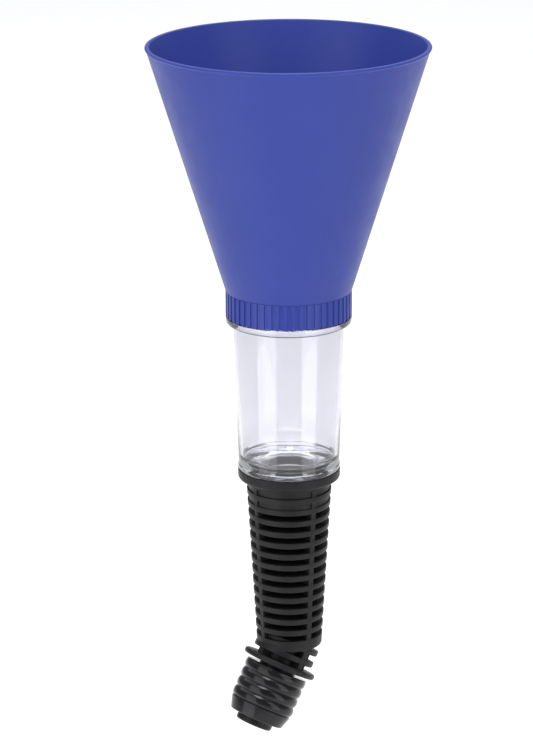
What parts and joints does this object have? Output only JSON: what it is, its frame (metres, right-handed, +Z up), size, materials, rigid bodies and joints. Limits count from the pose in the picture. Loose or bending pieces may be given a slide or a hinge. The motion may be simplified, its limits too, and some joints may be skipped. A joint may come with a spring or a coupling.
{
  "type": "filling funnel",
  "caption": "Filling funnel with a wide blue cone, a clear screw-in cup and a bent ribbed black spout with a locating disc and rubber sleeve.",
  "frame": {"origin": "on the outlet's axis at the underside of the locating disc, where the spout rests in a filler neck", "axes": "+Z up along the funnel's main axis, towards the rim; the outlet leans 30 degrees from -Z towards -X; +Y across the bend"},
  "size_m": [0.14, 0.14, 0.3566],
  "materials": {
    "blue_plastic": "satin moulded polypropylene",
    "clear_plastic": "clear polished styrene acrylonitrile",
    "black_plastic": "satin moulded polypropylene",
    "black_rubber": "glossy moulded rubber",
    "white_seal": "matt natural elastomer"
  },
  "bodies": {
    "spout": {"spout": "black_plastic"},
    "seal": {"neck_ring": "white_seal"},
    "cup": {"sight_cup": "clear_plastic"},
    "washer": {"funnel_gasket": "white_seal"},
    "funnel": {"funnel": "blue_plastic"},
    "sleeve": {"outlet_sleeve": "black_rubber"}
  },
  "joints": [
    {"name": "cup_unscrew", "type": "hinge", "parent": "spout", "child": "seal", "pos_m": [0.0071, 0, 0.1083], "axis": [0, 0, 1], "range_deg": [0, 1080]},
    {"name": "cup_rise", "type": "slide", "parent": "seal", "child": "cup", "axis": [0, 0, 1], "range_m": [0, 0.00961]},
    {"name": "funnel_rise", "type": "slide", "parent": "cup", "child": "washer", "axis": [0, 0, 1], "range_m": [0, 0.00801]},
    {"name": "funnel_unscrew", "type": "hinge", "parent": "washer", "child": "funnel", "pos_m": [0.0071, 0, 0.1923], "axis": [0, 0, 1], "range_deg": [0, 720]},
    {"name": "sleeve_pull_off", "type": "slide", "parent": "spout", "child": "sleeve", "axis": [-0.5, 0, -0.866], "range_m": [0, 0.032]}
  ],
  "couplings": [
    {"joint": "cup_rise", "follows": "cup_unscrew", "m_per_rad": 0.0005093},
    {"joint": "funnel_rise", "follows": "funnel_unscrew", "m_per_rad": 0.00063662}
  ]
}
